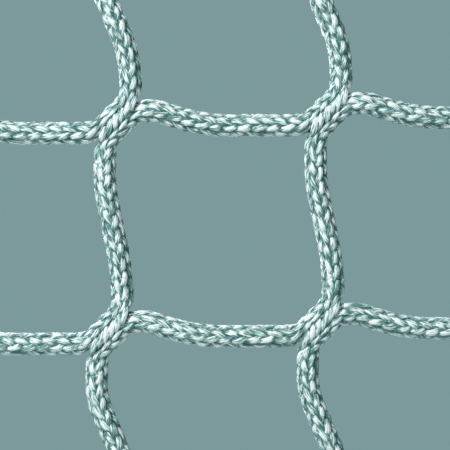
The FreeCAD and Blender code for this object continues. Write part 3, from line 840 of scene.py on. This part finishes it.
# The ramp on the ply wave paints shade in the grooves between turns and a highlight on their crests; the fluff
# noise adds random tone.
colour = ramp(tree, (height, 0), [(0.1, "#5E7372"), (0.5, "#A9BDBB"), (0.9, "#DCE9E7")])
tree.links.new(colour.outputs["Color"], shader.inputs["Base Color"])
bump = add(tree, "ShaderNodeBump", {}, {"Height": (height, 0), "Strength": 0.6, "Distance": 0.00025})
tree.links.new(bump.outputs["Normal"], shader.inputs["Normal"])
shader.inputs["Roughness"].default_value = 0.42
shader.inputs["IOR"].default_value = 1.44

TWINE, SEIZING_TWINE = 1.45, 1.9


def winding(batch, start, axis, first_side, length, outline, diameter, number):
    """Twine wound round an axis; outline(share, angle) gives the two sideways offsets of its middle."""
    second_side = np.cross(axis, first_side)
    turns = length / diameter
    angle = np.linspace(0, 2 * math.pi * turns, int(turns * 30))
    share = angle / angle[-1]
    a, b = outline(share, angle)
    points = (start + axis * (diameter / 2 + share * (length - diameter))[:, None]
              + first_side * a[:, None] + second_side * b[:, None])
    ups = first_side * a[:, None] + second_side * b[:, None]
    ribbon(batch, points, ups, diameter, diameter, number, sides=6)


BOUND_CORD, BOUND_PAIR = 6.0, 8.1  # half thickness of the bound cord, and of its two parts at the eye


def oval(share, angle):
    """A whipping's outline, from round the eye's two parts to round the cord."""
    through = BOUND_PAIR + (BOUND_CORD - BOUND_PAIR) * np.clip(share * 1.3, 0, 1) + TWINE / 2
    return (BOUND_CORD + TWINE / 2) * np.cos(angle), through * np.sin(angle)


whipped = {}
for cord in cords:
    for place, rope_point, along_leg in cord.eyes:
        whipped.setdefault(place, []).append((rope_point, along_leg))
for place, ends in whipped.items():
    batch = Batch()
    for count, (rope_point, along_leg) in enumerate(ends):
        rope_way = UP if abs(along_leg @ RIGHT) > 0.5 else RIGHT
        winding(batch, rope_point + along_leg * THROAT, along_leg, rope_way, WHIPPING, oval, TWINE, 300 + count)
    made = batch.finish(f"twine_whippings_{place}", twine)
    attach(made, f"{place}_edge" if place in ("top", "bottom") else place)
    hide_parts(f"whippings_{place}")

SEIZING = 13.0
SEIZING_REACH = ROPE / 2 + SEIZING_TWINE / 2


def stadium(share, angle):
    """A seizing's outline, round the rope's two parts side by side."""
    turn = np.mod(angle, 2 * math.pi)
    apart = np.clip(np.cos(turn) * 3, -1, 1) * NECK / 2
    return np.cos(turn) * SEIZING_REACH + apart, np.sin(turn) * SEIZING_REACH


for edge in ("top", "bottom"):
    batch = Batch()
    for count, (name, base, out, *_) in enumerate(eye for eye in EYES if eye[0].startswith(edge)):
        out = unit(out)
        left = at(-out[2], out[0])
        start = bores[name] - out * (FLARE + 5.5 + SEIZING)
        winding(batch, start, out, left, SEIZING, stadium, SEIZING_TWINE, 500 + count)
        for face in (-1, 1):
            for lane in (-1, 0, 1):
                share = np.linspace(-1, 1, 21)
                lift = (SEIZING_REACH + SEIZING_TWINE * 0.95) - 7.5 * np.abs(share) ** 7
                points = (start + out * (SEIZING / 2 + share * (SEIZING / 2 + 0.8))[:, None]
                          + left * (lane * SEIZING_TWINE * (1 - 0.6 * share**4))[:, None]
                          + THROUGH * (face * lift)[:, None])
                ribbon(batch, points, THROUGH * face, SEIZING_TWINE, SEIZING_TWINE, 520 + lane, sides=6)
    made = batch.finish(f"twine_seizings_{edge}", twine)
    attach(made, f"{edge}_edge")
    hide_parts(f"seizings_{edge}")
print("twine wound:", totals)

# %% [markdown]
# ## Thimbles and sleeve
#
# The thimbles are turned steel rings with a dull zinc coat, and the sleeve is a pressed aluminium tube. Their
# shapes in the frame are the real ones, so they stay and only get a finish. Turning leaves fine rings round
# the bore, and zinc forms grey patches a few millimetres wide.

# %% Give the metal parts their finishes


def metal(name, dark, light, roughness, patch, lines):
    material, tree, shader = new_material(name)
    place = add(tree, "ShaderNodeTexCoord")
    patches = add(tree, "ShaderNodeTexNoise", {},
                  {"Vector": (place, "Object"), "Scale": 1 / patch, "Detail": 4.0})
    fine = add(tree, "ShaderNodeTexNoise", {},
               {"Vector": (place, "Object"), "Scale": 1 / lines, "Detail": 2.0})
    both = maths(tree, "MULTIPLY_ADD", (fine, "Fac"), 0.35)
    tree.links.new(patches.outputs["Fac"], both.inputs[2])
    colour = ramp(tree, (both, 0), [(0.35, dark), (1.0, light)])
    tree.links.new(colour.outputs["Color"], shader.inputs["Base Color"])
    rough = add(tree, "ShaderNodeMapRange", {}, {"Value": (patches, "Fac"), "To Min": roughness - 0.12,
                                                 "To Max": roughness + 0.15})
    tree.links.new(rough.outputs["Result"], shader.inputs["Roughness"])
    bump = add(tree, "ShaderNodeBump", {}, {"Height": (both, 0), "Strength": 0.35, "Distance": 0.00008})
    tree.links.new(bump.outputs["Normal"], shader.inputs["Normal"])
    shader.inputs["Metallic"].default_value = 1.0
    return material


def dress(node, material):
    mesh = frame["nodes"][node].data
    mesh.materials.clear()
    mesh.materials.append(material)


zinc = metal("zinc_plated_steel", "#7F868A", "#C4CACC", 0.38, 0.006, 0.0006)
aluminium = metal("pressed_aluminium", "#9A9DA0", "#D2D4D6", 0.34, 0.012, 0.0008)
for edge in ("top", "bottom"):
    dress(f"thimbles_{edge}", zinc)
dress("rope_end_sleeve", aluminium)

# %% [markdown]
# ## Floor, light and camera
#
# The net hangs over a pale floor in soft studio light. The main light is high on the left, with a weaker one
# nearer the lens, so that every strand's crown shines and the lower right sides fall away into shade. The
# backdrop is a plain grey-teal. It lights the net less strongly than it looks, as a backdrop some way off does.
# The camera looks straight at one mesh, low on the panel, with a long lens so that the meshes stay square.

# %% Set the stage
scene = bpy.context.scene
scene.view_settings.view_transform = "Standard"

floor_finish, tree, shader = new_material("painted_floor")
place = add(tree, "ShaderNodeTexCoord")
grain = add(tree, "ShaderNodeTexNoise", {}, {"Vector": (place, "Object"), "Scale": 40.0, "Detail": 5.0})
colour = ramp(tree, (grain, "Fac"), [(0.3, "#CCD7D6"), (0.7, "#D6DFDE")])
tree.links.new(colour.outputs["Color"], shader.inputs["Base Color"])
shader.inputs["Roughness"].default_value = 0.7
bpy.ops.mesh.primitive_circle_add(vertices=96, radius=1.8, fill_type="NGON", location=(0, 0, -1.08))
floor = bpy.context.object
floor.name = "studio_floor"
floor.data.materials.append(floor_finish)

world = bpy.data.worlds.new("studio")
scene.world = world
world.use_nodes = True
backdrop = world.node_tree.nodes["Background"]
backdrop.inputs["Color"].default_value = linear("#7C9A9C")
seen = add(world.node_tree, "ShaderNodeLightPath")
strength = add(world.node_tree, "ShaderNodeMapRange", {},
               {"Value": (seen, "Is Camera Ray"), "To Min": 0.36, "To Max": 1.0})
world.node_tree.links.new(strength.outputs["Result"], backdrop.inputs["Strength"])

MESH = np.array([3.1, 0.0, -511.7]) * MM  # the middle of the view


def area_light(name, place, size, power, colour):
    data = bpy.data.lights.new(name, "AREA")
    data.shape, data.size, data.energy, data.color = "DISK", size, power, linear(colour)[:3]
    light = bpy.data.objects.new(name, data)
    light.location = place
    light.rotation_euler = Vector(MESH - np.array(place)).to_track_quat("-Z", "Y").to_euler()
    scene.collection.objects.link(light)


area_light("key", (-0.85, -1.0, 0.65), 0.4, 29, "#FAFFFF")
area_light("fill", (-0.35, -1.6, -0.2), 0.6, 7.5, "#E8FAFA")
area_light("back", (-0.2, 1.7, -0.2), 0.9, 15, "#EEF6F6")

VIEW_WIDTH, LENS, SENSOR = 0.2669, 120.0, 36.0
camera_data = bpy.data.cameras.new("camera")
camera_data.lens, camera_data.sensor_width = LENS, SENSOR
camera = bpy.data.objects.new("camera", camera_data)
camera.location = (MESH[0], -VIEW_WIDTH * LENS / SENSOR, MESH[2])
camera.rotation_euler = (math.pi / 2, 0, 0)
scene.collection.objects.link(camera)
scene.camera = camera
